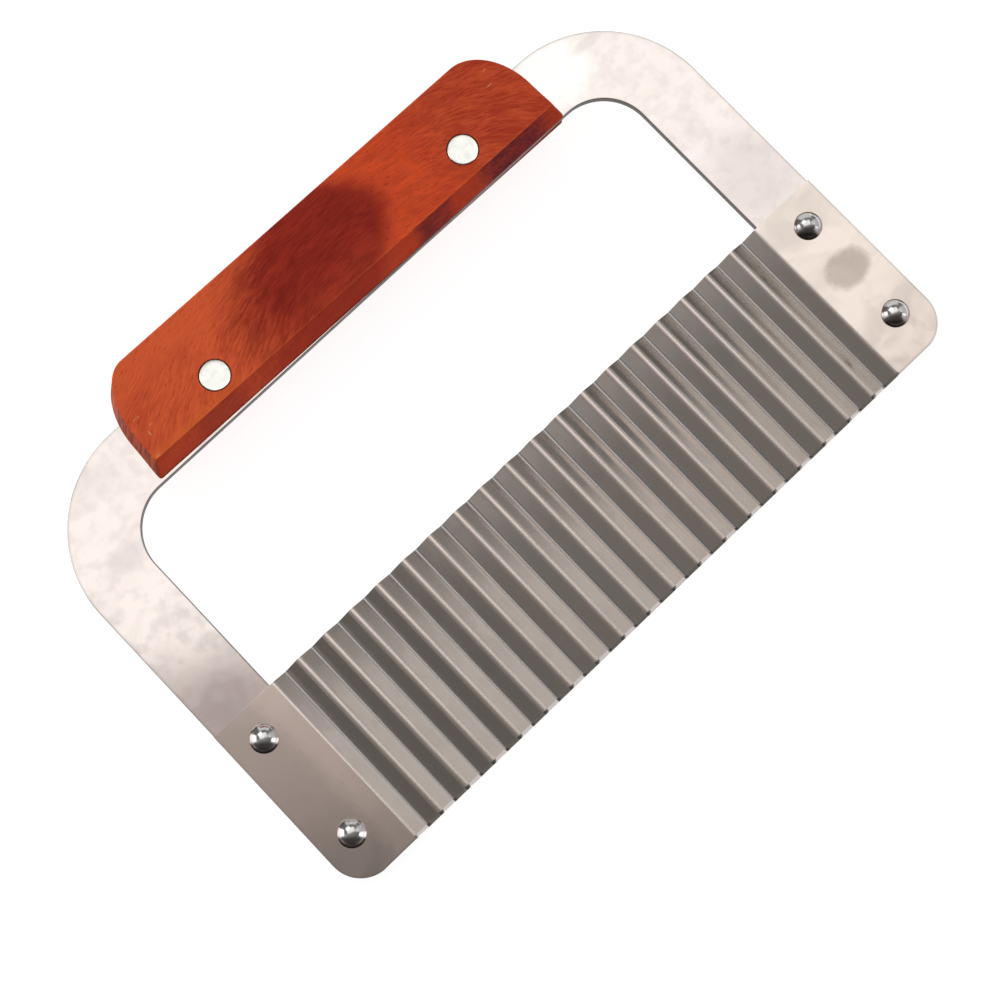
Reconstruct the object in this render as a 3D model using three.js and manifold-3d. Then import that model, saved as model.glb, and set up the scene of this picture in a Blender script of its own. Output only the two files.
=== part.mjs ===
// Crinkle cutter: a corrugated steel blade riveted across the arms of a sheet steel frame,
// with a slotted wooden handle over the frame's bar.
// The tool is drawn flat and then laid on its back. In the drawing X runs along the blade,
// Y from the cutting edge to the handle and Z out of the front face, and Z = 0 is the middle
// of the frame's sheet. All sizes are in millimetres.
import * as THREE from 'three';
import { mergeVertices } from 'three/addons/utils/BufferGeometryUtils.js';
import Module from 'manifold-3d';

const wasm = await Module();
wasm.setup();

// Blade
const BLADE_LENGTH = 180;
const BLADE_HEIGHT = 45.5;
const BLADE_SHEET = 0.8;
const TAB_LENGTH = 16.7;
const GROOVE_COUNT = 19;
const WAVE_DEPTH = 2.1;
const BEND_RADIUS = 0.7;
const EDGE_HEIGHT = 1.2;
const EDGE_LAND = 0.2;
const CORNER_RADIUS = 8;

// Frame
const FRAME_HEIGHT = 110;
const FRAME_SHEET = 2;
const ARM_WIDTH = 16;
const BAR_WIDTH = 16;
const INNER_RADIUS = 12;

// Handle: its sides are widest beside the slot and taper to the two faces, and its ends lean in
const HANDLE_LENGTH = 121.4;
const HANDLE_HEIGHT = 25.4;
const HANDLE_THICKNESS = 18;
const HANDLE_LIFT = 0.4;
const SIDE_TAPER = 1.9;
const LIP_WIDTH = 0.6;
const END_LEAN = 0.5;
const SHOULDER_LENGTH = 9.5;
const SHOULDER_HEIGHT = 17;
const FOOT_RADIUS = 0.5;

// Blade rivets: a dome head in front, a flat formed tail behind
const RIVET_FROM_END = 7.6;
const RIVET_FROM_TOP = 7.6;
const RIVET_SPACING = 27.5;
const RIVET_SHANK = 3.2;
const DOME_DIAMETER = 6.4;
const DOME_HEIGHT = 2;
const TAIL_DIAMETER = 5.4;
const TAIL_HEIGHT = 0.9;
const TAIL_EASE = 0.4;

// Handle rivets: a front half with a sleeve, and a rear half whose pin runs in the sleeve
const HANDLE_RIVET_SPACING = 73.8;
const DISC_DIAMETER = 7;
const DISC_THICKNESS = 2;
const DISC_EASE = 0.3;
const SLEEVE_DIAMETER = 4.6;
const PIN_DIAMETER = 2.4;

// Clearance between pieces that touch
const SEAT_GAP = 0.3;

// Facets on a full circle, a quarter round of an outline and a fold of the blade
const ROUND_SEGMENTS = 24;
const CORNER_SEGMENTS = 10;
const FOLD_STEPS = 4;

// Places that several pieces share
const HALF_LENGTH = BLADE_LENGTH / 2;
const FRAME_FACE = FRAME_SHEET / 2;
const TAB_BACK = FRAME_FACE + SEAT_GAP;
const TAB_FACE = TAB_BACK + BLADE_SHEET;
const BAR_LOW = FRAME_HEIGHT - BAR_WIDTH;
const HANDLE_LOW = BAR_LOW + HANDLE_LIFT;
const HANDLE_FACE = HANDLE_THICKNESS / 2;
const BLADE_RIVET_X = HALF_LENGTH - RIVET_FROM_END;
const UPPER_RIVET_Y = BLADE_HEIGHT - RIVET_FROM_TOP;
const BLADE_RIVETS = [
  { name: 'blade_rivet_left_upper', x: -BLADE_RIVET_X, y: UPPER_RIVET_Y },
  { name: 'blade_rivet_left_lower', x: -BLADE_RIVET_X, y: UPPER_RIVET_Y - RIVET_SPACING },
  { name: 'blade_rivet_right_upper', x: BLADE_RIVET_X, y: UPPER_RIVET_Y },
  { name: 'blade_rivet_right_lower', x: BLADE_RIVET_X, y: UPPER_RIVET_Y - RIVET_SPACING },
];
const HANDLE_RIVETS = [
  { name: 'handle_rivet_left', x: -HANDLE_RIVET_SPACING / 2, y: BAR_LOW + BAR_WIDTH / 2 },
  { name: 'handle_rivet_right', x: HANDLE_RIVET_SPACING / 2, y: BAR_LOW + BAR_WIDTH / 2 },
];

// Solids for cutting and joining, from closed geometries and back again
function toSolid(geometry) {
  const bare = geometry.clone();
  bare.deleteAttribute('normal');
  bare.deleteAttribute('uv');
  const merged = mergeVertices(bare);
  return new wasm.Manifold(new wasm.Mesh({
    numProp: 3,
    vertProperties: new Float32Array(merged.attributes.position.array),
    triVerts: new Uint32Array(merged.index.array),
  }));
}

function toGeometry(solid) {
  const mesh = solid.getMesh();
  const geometry = new THREE.BufferGeometry();
  geometry.setAttribute('position', new THREE.BufferAttribute(mesh.vertProperties, 3));
  geometry.setIndex(new THREE.BufferAttribute(mesh.triVerts, 1));
  geometry.computeVertexNormals();
  return geometry;
}

// A drill along Z, between two heights, at a place on the drawing
function drill(diameter, place, low, high) {
  const radius = diameter / 2;
  const geometry = new THREE.CylinderGeometry(radius, radius, high - low, ROUND_SEGMENTS);
  geometry.rotateX(Math.PI / 2);
  geometry.translate(place.x, place.y, (low + high) / 2);
  return toSolid(geometry);
}

// A turned piece whose profile points are [radius, height along Z]
function turned(profile) {
  const points = profile.map(([radius, height]) => new THREE.Vector2(radius, height));
  const geometry = new THREE.LatheGeometry(points, ROUND_SEGMENTS);
  geometry.rotateX(Math.PI / 2);
  return toGeometry(toSolid(geometry));
}

// Frame: arms and bar cut from one sheet, open at the bottom between the arms
function frameGeometry() {
  const inner = HALF_LENGTH - ARM_WIDTH;
  const corner = inner - INNER_RADIUS;
  const outerRise = INNER_RADIUS + BAR_WIDTH;
  const outerRun = INNER_RADIUS + ARM_WIDTH;
  const bend = BAR_LOW - INNER_RADIUS;
  const foot = EDGE_HEIGHT + CORNER_RADIUS;
  const toe = HALF_LENGTH - CORNER_RADIUS;
  const sheet = new THREE.Shape();
  sheet.moveTo(-inner, EDGE_HEIGHT);
  sheet.lineTo(-inner, bend);
  sheet.absarc(-corner, bend, INNER_RADIUS, Math.PI, Math.PI / 2, true);
  sheet.lineTo(corner, BAR_LOW);
  sheet.absarc(corner, bend, INNER_RADIUS, Math.PI / 2, 0, true);
  sheet.lineTo(inner, EDGE_HEIGHT);
  sheet.lineTo(toe, EDGE_HEIGHT);
  sheet.absarc(toe, foot, CORNER_RADIUS, -Math.PI / 2, 0, false);
  sheet.lineTo(HALF_LENGTH, bend);
  sheet.absellipse(corner, bend, outerRun, outerRise, 0, Math.PI / 2, false, 0);
  sheet.lineTo(-corner, FRAME_HEIGHT);
  sheet.absellipse(-corner, bend, outerRun, outerRise, Math.PI / 2, Math.PI, false, 0);
  sheet.lineTo(-HALF_LENGTH, foot);
  sheet.absarc(-toe, foot, CORNER_RADIUS, Math.PI, 1.5 * Math.PI, false);
  sheet.closePath();
  const plate = new THREE.ExtrudeGeometry(sheet, {
    depth: FRAME_SHEET,
    bevelEnabled: false,
    curveSegments: CORNER_SEGMENTS,
  });
  plate.translate(0, 0, -FRAME_FACE);
  let solid = toSolid(plate);
  for (const rivet of BLADE_RIVETS) {
    solid = solid.subtract(drill(RIVET_SHANK + 2 * SEAT_GAP, rivet, -FRAME_SHEET, FRAME_SHEET));
  }
  for (const rivet of HANDLE_RIVETS) {
    solid = solid.subtract(drill(SLEEVE_DIAMETER + 2 * SEAT_GAP, rivet, -FRAME_SHEET, FRAME_SHEET));
  }
  return toGeometry(solid);
}

// Section of the corrugated sheet in X and Z, at an offset in front of the sheet's middle.
// Each fold is an arc between two flat facets, and the tabs run level with the ridges.
const PITCH = (BLADE_LENGTH - 2 * TAB_LENGTH) / GROOVE_COUNT;
const FOLD_RADIUS = BEND_RADIUS + BLADE_SHEET / 2;

// Slope of the facets that are tangent to ridge and groove folds half a pitch apart
function facetSlope() {
  const run = PITCH / 2;
  const rise = 2 * FOLD_RADIUS - WAVE_DEPTH;
  return Math.asin(2 * FOLD_RADIUS / Math.hypot(run, rise)) - Math.atan2(rise, run);
}

function sheetLine(offset) {
  const slope = facetSlope();
  const ridgeCentre = TAB_FACE - BLADE_SHEET / 2 - FOLD_RADIUS;
  const grooveCentre = TAB_FACE - BLADE_SHEET / 2 - WAVE_DEPTH + FOLD_RADIUS;
  const foldStart = -HALF_LENGTH + TAB_LENGTH;
  const line = [new THREE.Vector2(-HALF_LENGTH, TAB_FACE - BLADE_SHEET / 2 + offset)];
  for (let fold = 0; fold <= 2 * GROOVE_COUNT; fold += 1) {
    const ridge = fold % 2 === 0;
    const x = foldStart + fold * PITCH / 2;
    const centre = ridge ? ridgeCentre : grooveCentre;
    const radius = ridge ? FOLD_RADIUS + offset : FOLD_RADIUS - offset;
    const bulge = ridge ? radius : -radius;
    const first = fold === 0 ? FOLD_STEPS / 2 : 0;
    const last = fold === 2 * GROOVE_COUNT ? FOLD_STEPS / 2 : FOLD_STEPS;
    for (let step = first; step <= last; step += 1) {
      const angle = slope * (2 * step / FOLD_STEPS - 1);
      const height = centre + bulge * Math.cos(angle);
      line.push(new THREE.Vector2(x + radius * Math.sin(angle), height));
    }
  }
  line.push(new THREE.Vector2(HALF_LENGTH, TAB_FACE - BLADE_SHEET / 2 + offset));
  return line;
}

// Closed loop round the sheet: along its front, and back along its rear face
function sheetLoop(thickness) {
  const front = sheetLine(thickness / 2);
  const rear = sheetLine(-thickness / 2);
  return [...front, ...rear.reverse()];
}

// Blade: the section swept up the tool, thinned to a land at the ground cutting edge,
// trimmed to rounded lower corners and drilled for its rivets
function bladeGeometry() {
  const levels = [
    { y: 0, loop: sheetLoop(EDGE_LAND) },
    { y: EDGE_HEIGHT, loop: sheetLoop(BLADE_SHEET) },
    { y: BLADE_HEIGHT, loop: sheetLoop(BLADE_SHEET) },
  ];
  const count = levels[0].loop.length;
  const positions = [];
  for (const level of levels) {
    for (const point of level.loop) {
      positions.push(point.x, level.y, point.y);
    }
  }
  const triangles = [];
  for (let ring = 0; ring < levels.length - 1; ring += 1) {
    for (let i = 0; i < count; i += 1) {
      const next = (i + 1) % count;
      const a = ring * count + i;
      const b = ring * count + next;
      triangles.push(a, b, a + count);
      triangles.push(b, b + count, a + count);
    }
  }
  const half = count / 2;
  const top = (levels.length - 1) * count;
  for (let i = 0; i < half - 1; i += 1) {
    const rear = count - 1 - i;
    triangles.push(i, rear, i + 1);
    triangles.push(i + 1, rear, rear - 1);
    triangles.push(top + i, top + i + 1, top + rear);
    triangles.push(top + i + 1, top + rear - 1, top + rear);
  }
  const swept = new THREE.BufferGeometry();
  swept.setAttribute('position', new THREE.Float32BufferAttribute(positions, 3));
  swept.setIndex(triangles);

  const outline = new THREE.Shape();
  const reach = HALF_LENGTH - CORNER_RADIUS;
  outline.moveTo(-HALF_LENGTH, BLADE_HEIGHT + BLADE_SHEET);
  outline.lineTo(-HALF_LENGTH, CORNER_RADIUS);
  outline.absarc(-reach, CORNER_RADIUS, CORNER_RADIUS, Math.PI, 1.5 * Math.PI, false);
  outline.lineTo(reach, 0);
  outline.absarc(reach, CORNER_RADIUS, CORNER_RADIUS, -Math.PI / 2, 0, false);
  outline.lineTo(HALF_LENGTH, BLADE_HEIGHT + BLADE_SHEET);
  outline.closePath();
  const below = TAB_FACE - WAVE_DEPTH - 2 * BLADE_SHEET;
  const above = TAB_FACE + BLADE_SHEET;
  const trim = new THREE.ExtrudeGeometry(outline, {
    depth: above - below,
    bevelEnabled: false,
    curveSegments: CORNER_SEGMENTS,
  });
  trim.translate(0, 0, below);

  let solid = toSolid(swept).intersect(toSolid(trim));
  for (const rivet of BLADE_RIVETS) {
    solid = solid.subtract(drill(RIVET_SHANK + 2 * SEAT_GAP, rivet, below, above));
  }
  return toGeometry(solid);
}

// Handle: one block with round shoulders, slotted from below for the bar.
// The outline is that of the two flat faces, and the sides slope out from it to a narrow rim
// that is a lip wider than the slot on each side.
function handleGeometry() {
  const half = HANDLE_LENGTH / 2 - SIDE_TAPER;
  const low = HANDLE_LOW + SIDE_TAPER;
  const high = HANDLE_LOW + HANDLE_HEIGHT - SIDE_TAPER;
  const shoulderRun = SHOULDER_LENGTH - SIDE_TAPER;
  const shoulderRise = SHOULDER_HEIGHT - SIDE_TAPER;
  const shoulder = high - shoulderRise;
  const end = half - END_LEAN;
  const crest = end - shoulderRun;
  const toe = half - FOOT_RADIUS;
  const heel = low + FOOT_RADIUS;
  const face = new THREE.Shape();
  face.moveTo(-toe, low);
  face.lineTo(toe, low);
  face.absarc(toe, heel, FOOT_RADIUS, -Math.PI / 2, 0, false);
  face.lineTo(end, shoulder);
  face.absellipse(crest, shoulder, shoulderRun, shoulderRise, 0, Math.PI / 2, false, 0);
  face.lineTo(-crest, high);
  face.absellipse(-crest, shoulder, shoulderRun, shoulderRise, Math.PI / 2, Math.PI, false, 0);
  face.lineTo(-half, heel);
  face.absarc(-toe, heel, FOOT_RADIUS, Math.PI, 1.5 * Math.PI, false);
  const slotFace = FRAME_FACE + SEAT_GAP;
  const rim = slotFace + LIP_WIDTH;
  const block = new THREE.ExtrudeGeometry(face, {
    depth: 2 * rim,
    bevelEnabled: true,
    bevelThickness: HANDLE_FACE - rim,
    bevelSize: SIDE_TAPER,
    bevelSegments: 1,
    curveSegments: CORNER_SEGMENTS,
  });
  block.translate(0, 0, -rim);

  const slotTop = FRAME_HEIGHT + SEAT_GAP;
  const slotLow = HANDLE_LOW - HANDLE_HEIGHT;
  const slot = new THREE.BoxGeometry(2 * HANDLE_LENGTH, slotTop - slotLow, 2 * slotFace);
  slot.translate(0, (slotTop + slotLow) / 2, 0);

  let solid = toSolid(block).subtract(toSolid(slot));
  const sleeveBore = SLEEVE_DIAMETER + 2 * SEAT_GAP;
  const counterbore = DISC_DIAMETER + 2 * SEAT_GAP;
  const seat = HANDLE_FACE - DISC_THICKNESS - SEAT_GAP;
  for (const rivet of HANDLE_RIVETS) {
    solid = solid.subtract(drill(sleeveBore, rivet, -HANDLE_THICKNESS, HANDLE_THICKNESS));
    solid = solid.subtract(drill(counterbore, rivet, seat, HANDLE_THICKNESS));
    solid = solid.subtract(drill(counterbore, rivet, -HANDLE_THICKNESS, -seat));
  }
  return toGeometry(solid);
}

// Blade rivet, along Z through the tab and the arm
function bladeRivetGeometry() {
  const shank = RIVET_SHANK / 2;
  const tail = TAIL_DIAMETER / 2;
  const tailSeat = -FRAME_FACE - SEAT_GAP;
  const tailEnd = tailSeat - TAIL_HEIGHT;
  const headSeat = TAB_FACE + SEAT_GAP;
  const rim = DOME_DIAMETER / 2;
  const ball = (rim * rim + DOME_HEIGHT * DOME_HEIGHT) / (2 * DOME_HEIGHT);
  const sweep = Math.asin(Math.min(1, rim / ball));
  const full = DOME_HEIGHT > rim ? Math.PI - sweep : sweep;
  const profile = [
    [0, tailEnd],
    [tail - TAIL_EASE, tailEnd],
    [tail, tailEnd + TAIL_EASE],
    [tail, tailSeat],
    [shank, tailSeat],
    [shank, headSeat],
  ];
  for (let step = 0; step < ROUND_SEGMENTS / 4; step += 1) {
    const angle = full * (1 - step / (ROUND_SEGMENTS / 4));
    profile.push([ball * Math.sin(angle), headSeat + DOME_HEIGHT - ball * (1 - Math.cos(angle))]);
  }
  profile.push([0, headSeat + DOME_HEIGHT]);
  return turned(profile);
}

// Front half of a handle rivet: a flush disc with a sleeve that is open at the back
function sleeveHalfGeometry() {
  const disc = DISC_DIAMETER / 2;
  const under = HANDLE_FACE - DISC_THICKNESS;
  const sleeve = SLEEVE_DIAMETER / 2;
  const bore = PIN_DIAMETER / 2 + SEAT_GAP;
  const sleeveEnd = -under + SEAT_GAP;
  return turned([
    [0, under],
    [bore, under],
    [bore, sleeveEnd],
    [sleeve, sleeveEnd],
    [sleeve, under],
    [disc, under],
    [disc, HANDLE_FACE - DISC_EASE],
    [disc - DISC_EASE, HANDLE_FACE],
    [0, HANDLE_FACE],
  ]);
}

// Rear half of a handle rivet: a flush disc with the pin that the sleeve grips
function pinHalfGeometry() {
  const disc = DISC_DIAMETER / 2;
  const under = HANDLE_FACE - DISC_THICKNESS;
  const pin = PIN_DIAMETER / 2;
  return turned([
    [0, -HANDLE_FACE],
    [disc - DISC_EASE, -HANDLE_FACE],
    [disc, DISC_EASE - HANDLE_FACE],
    [disc, -under],
    [pin, -under],
    [pin, under - SEAT_GAP],
    [0, under - SEAT_GAP],
  ]);
}

// Finishes
function frameSteel() {
  return new THREE.MeshStandardMaterial({ color: 0xd9cfc9, roughness: 0.34, metalness: 1 });
}

function bladeSteel() {
  return new THREE.MeshStandardMaterial({ color: 0xb4a9a0, roughness: 0.3, metalness: 1 });
}

function varnishedWood() {
  return new THREE.MeshStandardMaterial({ color: 0xa8401f, roughness: 0.35, metalness: 0 });
}

function polishedSteel() {
  return new THREE.MeshStandardMaterial({ color: 0xc8c4c0, roughness: 0.12, metalness: 1 });
}

function aluminium() {
  return new THREE.MeshStandardMaterial({ color: 0xeeebe6, roughness: 0.4, metalness: 1 });
}

function piece(name, geometry, material, place = { x: 0, y: 0 }) {
  const mesh = new THREE.Mesh(geometry, material);
  mesh.name = name;
  mesh.position.set(place.x, place.y, 0);
  return mesh;
}

// The line that the tool rests on when it lies on its back, seen from the end of the blade:
// the stretch of the lower hull that passes under the middle of the tool
function restingLine(group) {
  const points = [];
  group.updateMatrixWorld(true);
  group.traverse((mesh) => {
    if (!mesh.isMesh) return;
    const corners = mesh.geometry.attributes.position;
    for (let i = 0; i < corners.count; i += 1) {
      const corner = new THREE.Vector3().fromBufferAttribute(corners, i);
      corner.applyMatrix4(mesh.matrixWorld);
      points.push(new THREE.Vector2(corner.y, corner.z));
    }
  });
  points.sort((a, b) => a.x - b.x || a.y - b.y);
  const hull = [];
  for (const point of points) {
    while (hull.length > 1) {
      const back = hull[hull.length - 2];
      const edge = hull[hull.length - 1].clone().sub(back);
      if (edge.cross(point.clone().sub(back)) > 0) break;
      hull.pop();
    }
    hull.push(point);
  }
  const after = hull.findIndex((point) => point.x > FRAME_HEIGHT / 2);
  return hull[after].clone().sub(hull[after - 1]);
}

const cutter = new THREE.Group();
cutter.add(piece('frame', frameGeometry(), frameSteel()));
cutter.add(piece('blade', bladeGeometry(), bladeSteel()));
cutter.add(piece('handle', handleGeometry(), varnishedWood()));
for (const rivet of BLADE_RIVETS) {
  cutter.add(piece(rivet.name, bladeRivetGeometry(), polishedSteel(), rivet));
}
for (const rivet of HANDLE_RIVETS) {
  cutter.add(piece(`${rivet.name}_front`, sleeveHalfGeometry(), aluminium(), rivet));
  cutter.add(piece(`${rivet.name}_rear`, pinHalfGeometry(), aluminium(), rivet));
}

// Lay the tool on its back, with the origin under the middle of its box
const rest = restingLine(cutter);
cutter.rotation.x = -Math.atan2(rest.y, rest.x);
const box = new THREE.Box3().setFromObject(cutter, true);
const middle = box.getCenter(new THREE.Vector3());
cutter.position.set(-middle.x, -middle.y, -box.min.z);
cutter.updateMatrixWorld(true);

export default cutter;
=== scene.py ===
# %% [markdown]
# # Dressing a crinkle cutter
# The tool is a corrugated steel blade, riveted across the arms of a flat steel frame, with a
# wooden handle over the frame's bar. Its solids are already packed at their real size, in
# metres. They could be shown as they are, but their folds and rounds are coarse, so this lesson
# keeps them as a fixed frame and models a finer piece in the place of each one.

# %% Load the frame and keep its box
import math

import bmesh
import bpy
from mathutils import Matrix, Vector


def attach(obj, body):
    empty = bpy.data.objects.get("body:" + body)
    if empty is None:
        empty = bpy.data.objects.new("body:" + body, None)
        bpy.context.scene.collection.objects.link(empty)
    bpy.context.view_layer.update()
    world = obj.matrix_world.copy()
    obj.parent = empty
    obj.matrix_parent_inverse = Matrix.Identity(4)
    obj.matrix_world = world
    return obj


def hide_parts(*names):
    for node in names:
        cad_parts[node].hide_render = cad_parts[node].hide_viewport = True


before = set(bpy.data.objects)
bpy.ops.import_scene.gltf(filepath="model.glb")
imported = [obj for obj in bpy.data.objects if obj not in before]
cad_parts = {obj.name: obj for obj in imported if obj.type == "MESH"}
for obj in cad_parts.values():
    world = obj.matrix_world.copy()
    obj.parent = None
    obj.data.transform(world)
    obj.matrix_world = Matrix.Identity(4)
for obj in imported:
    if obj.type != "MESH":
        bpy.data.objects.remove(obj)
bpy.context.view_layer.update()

MM = 0.001
print("solids:", ", ".join(sorted(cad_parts)))

# %% [markdown]
# ## A flat drawing to work on
# The tool lies on its back, on the handle and the tails of two rivets, so its sheet leans a few
# degrees. Modelling on a lean is awkward. The lean is therefore measured on the large faces of
# the frame's solid, every piece is modelled flat, and the matrix `lay` puts it down at the end.
# On the flat drawing X runs along the blade, Y from the cutting edge to the handle and Z out of
# the front, and Z is 0 in the middle of the frame's sheet.

# %% Measure the lean
MOSTLY_UP = 0.9
sheet_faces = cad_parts["frame"].data.polygons
broad_faces = [face for face in sheet_faces if face.normal.z > MOSTLY_UP]
normal = sum((face.normal * face.area for face in broad_faces), Vector()).normalized()
lean = math.atan2(-normal.y, normal.z)
turn = Matrix.Rotation(lean, 4, "X")


def flat_box(node, matrix):
    """Lowest and highest corner of a solid, before the matrix lays it down."""
    back = matrix.inverted()
    spots = [back @ vertex.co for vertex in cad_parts[node].data.vertices]
    low = Vector([min(spot[axis] for spot in spots) for axis in range(3)])
    high = Vector([max(spot[axis] for spot in spots) for axis in range(3)])
    return low, high


sheet_low, sheet_high = flat_box("frame", turn)
blade_foot = flat_box("blade", turn)[0].y
lay = turn @ Matrix.Translation((0, blade_foot, (sheet_low.z + sheet_high.z) / 2))
print(f"the sheet leans {math.degrees(lean):.2f} degrees")

# %% [markdown]
# ## The camera
# The photograph looks almost straight down on the tool, with the blade running up to the right.
# A camera could be turned by eye until it fits, but the tool's own straight edges and rivets fix
# it: its place and its aim are given on the flat drawing, with the angle that the blade makes
# across the picture.

# %% Place the camera
CAMERA_SPOT = Vector((-55.9, 2.5, 409.6)) * MM
AIM_SPOT = Vector((-10.0, 40.7, 0)) * MM
BLADE_ANGLE = math.radians(43.27)
LENS = 67.96
SENSOR = 36
NEAR_CLIP = 0.01

ahead = (lay @ AIM_SPOT - lay @ CAMERA_SPOT).normalized()
along = Vector((1, 0, 0))
along = (along - ahead * along.dot(ahead)).normalized()
picture_right = Matrix.Rotation(-BLADE_ANGLE, 3, -ahead) @ along
picture_up = picture_right.cross(ahead)
camera = bpy.data.objects.new("camera", bpy.data.cameras.new("camera"))
bpy.context.scene.collection.objects.link(camera)
camera.data.lens = LENS
camera.data.sensor_width = SENSOR
camera.data.clip_start = NEAR_CLIP
axes = Matrix((picture_right, picture_up, -ahead)).transposed().to_4x4()
camera.matrix_world = Matrix.Translation(lay @ CAMERA_SPOT) @ axes
bpy.context.scene.camera = camera
print(f"camera {(lay @ CAMERA_SPOT).z:.3f} m above the floor")

# %% [markdown]
# ## Floor and studio light
# Steel shows what stands round it, so the lights are the steel's look. One lamp overhead would
# leave most of it black. What each face mirrors follows from the camera: the frame and the right
# tab mirror a place high behind the camera, the left tab the dim space beside it, the pale slopes
# of the blade what stands low at the upper right, and its dark slopes what stands low at the
# lower left. Plain soft boxes are put in those places. The floor is pale paper that glows a
# little, so that shadows stay faint.

# %% Lay the floor
FLOOR_SIZE = 8
FLOOR_DROP = 0.05 * MM
PAPER_GREY = (0.25, 0.25, 0.25, 1)
PAPER_GLOW = (1, 1, 1, 1)
GLOW_STRENGTH = 0.9
PAPER_ROUGHNESS = 0.9

bpy.ops.object.select_all(action="DESELECT")
bpy.ops.mesh.primitive_plane_add(size=FLOOR_SIZE, location=(0, 0, -FLOOR_DROP))
floor = bpy.context.object
floor.name = "floor"
paper = bpy.data.materials.new("pale_paper")
paper.use_nodes = True
paper_shader = paper.node_tree.nodes["Principled BSDF"]
paper_shader.inputs["Base Color"].default_value = PAPER_GREY
paper_shader.inputs["Roughness"].default_value = PAPER_ROUGHNESS
paper_shader.inputs["Specular IOR Level"].default_value = 0
paper_shader.inputs["Emission Color"].default_value = PAPER_GLOW
paper_shader.inputs["Emission Strength"].default_value = GLOW_STRENGTH
floor.data.materials.append(paper)
print(f"floor {FLOOR_SIZE} m wide")

# %% A soft box
middle_spot = lay @ AIM_SPOT
side = Vector((picture_right.x, picture_right.y, 0)).normalized()
top = Vector((picture_up.x, picture_up.y, 0)).normalized()
above = Vector((0, 0, 1))


def soft_box(name, offset, across, back, size, radiance, tint=(1, 1, 1)):
    """A light at an offset from the middle of the tool, with its width along `across` and its
    back turned away."""
    light = bpy.data.lights.new(name, "AREA")
    light.color = tint
    light.shape = "RECTANGLE"
    light.size, light.size_y = size
    light.energy = radiance * math.pi * size[0] * size[1]
    box = bpy.data.objects.new(name, light)
    bpy.context.scene.collection.objects.link(box)
    axes = Matrix((across, back.cross(across), back)).transposed().to_4x4()
    box.matrix_world = Matrix.Translation(middle_spot + offset) @ axes
    print(f"{name} {offset.length:.2f} m away")


print(f"boxes are placed from {middle_spot.z / MM:.1f} mm above the floor")

# %% [markdown]
# ### Boxes behind the camera
# On the photograph the steel goes from almost white at the right to grey at the left, along a
# line that rises to the right. That line is the mirrored lower edge of a large box, so the box is
# turned by as much. Two weak, warmer boxes under it soften the change.

# %% Hang the boxes behind the camera
EDGE_RISE = math.radians(22)
HIGH_DISTANCE = 1.1
FILL_TINT = (1, 0.87, 0.84)
rising = math.cos(EDGE_RISE) * picture_right + math.sin(EDGE_RISE) * picture_up
upward = math.cos(EDGE_RISE) * picture_up - math.sin(EDGE_RISE) * picture_right


def high_box(name, reach, slide, size, radiance, tint=(1, 1, 1)):
    """A box behind the camera, whose lower edge rises to the right of the picture. reach goes
    up from the camera's line, and slide goes along that edge."""
    offset = reach * upward - HIGH_DISTANCE * ahead
    soft_box(name, offset + slide * rising, rising, offset.normalized(), size, radiance, tint)


high_box("overhead_box", reach=0.645, slide=0.05, size=(1.3, 0.8), radiance=0.99)
high_box("upper_fill", reach=0.17, slide=0, size=(1.3, 0.16), radiance=0.35, tint=FILL_TINT)
high_box("camera_fill", reach=-0.13, slide=0, size=(1.3, 0.44), radiance=0.08, tint=FILL_TINT)

# %% [markdown]
# ### Boxes round the tool
# The other boxes stand in a ring, like screens round a table. The right box matters most. Its
# left edge is mirrored in the pale slopes of the blade, which turn dark towards the hand opening,
# and it is rolled a little because that change slants across the blade. The bright boxes at the
# left and right light the folds and the domes, and the faint ones at the lower left keep the
# dark slopes from going black.

# %% Stand the boxes round the tool
def wall_box(name, azimuth, low, high, width, radiance, roll=0):
    """An upright box a metre away, at an angle round from the right of the picture, between two
    angles above the floor. A roll leans its top to the left, as the tool sees it."""
    flat = math.cos(math.radians(azimuth)) * side + math.sin(math.radians(azimuth)) * top
    foot, head = math.tan(math.radians(low)), math.tan(math.radians(high))
    offset = flat + (foot + head) / 2 * above
    across = Matrix.Rotation(math.radians(-roll), 3, flat) @ above.cross(flat)
    soft_box(name, offset, across, flat, (width, head - foot), radiance)


wall_box("right_box", azimuth=25.9, low=2, high=36, width=0.71, radiance=0.45, roll=7.8)
wall_box("right_top_box", azimuth=26.5, low=36, high=60, width=0.71, radiance=0.65)
wall_box("right_fill", azimuth=57, low=16, high=40, width=0.4, radiance=0.1)
wall_box("left_box", azimuth=184, low=1, high=36, width=0.7, radiance=1.7)
wall_box("right_strip", azimuth=-12, low=1, high=34, width=0.5, radiance=1.7)
wall_box("upper_left_box", azimuth=135, low=40, high=62, width=0.7, radiance=1.5)
wall_box("upper_wall", azimuth=98, low=1, high=32, width=1.2, radiance=0.6)
wall_box("lower_fill", azimuth=-146, low=28, high=55, width=0.78, radiance=0.05)
wall_box("lower_left_fill", azimuth=-153, low=28, high=55, width=0.5, radiance=0.18)

# %% Fill the room
ROOM_COLOUR = (1, 0.985, 0.97, 1)
ROOM_STRENGTH = 0.14

room = bpy.data.worlds.new("room")
bpy.context.scene.world = room
room.use_nodes = True
background = room.node_tree.nodes["Background"]
background.inputs["Color"].default_value = ROOM_COLOUR
background.inputs["Strength"].default_value = ROOM_STRENGTH
bpy.context.scene.view_settings.view_transform = "Standard"
print("room filled with a faint even light")

# %% [markdown]
# ## Shader sums written as Python
# A finish is a web of nodes. Wiring them one by one hides what is being worked out, so a small
# class holds one output socket and lets sockets be added, subtracted and scaled with ordinary
# signs. One method makes any other node, from its type, its settings and its inputs.

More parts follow.
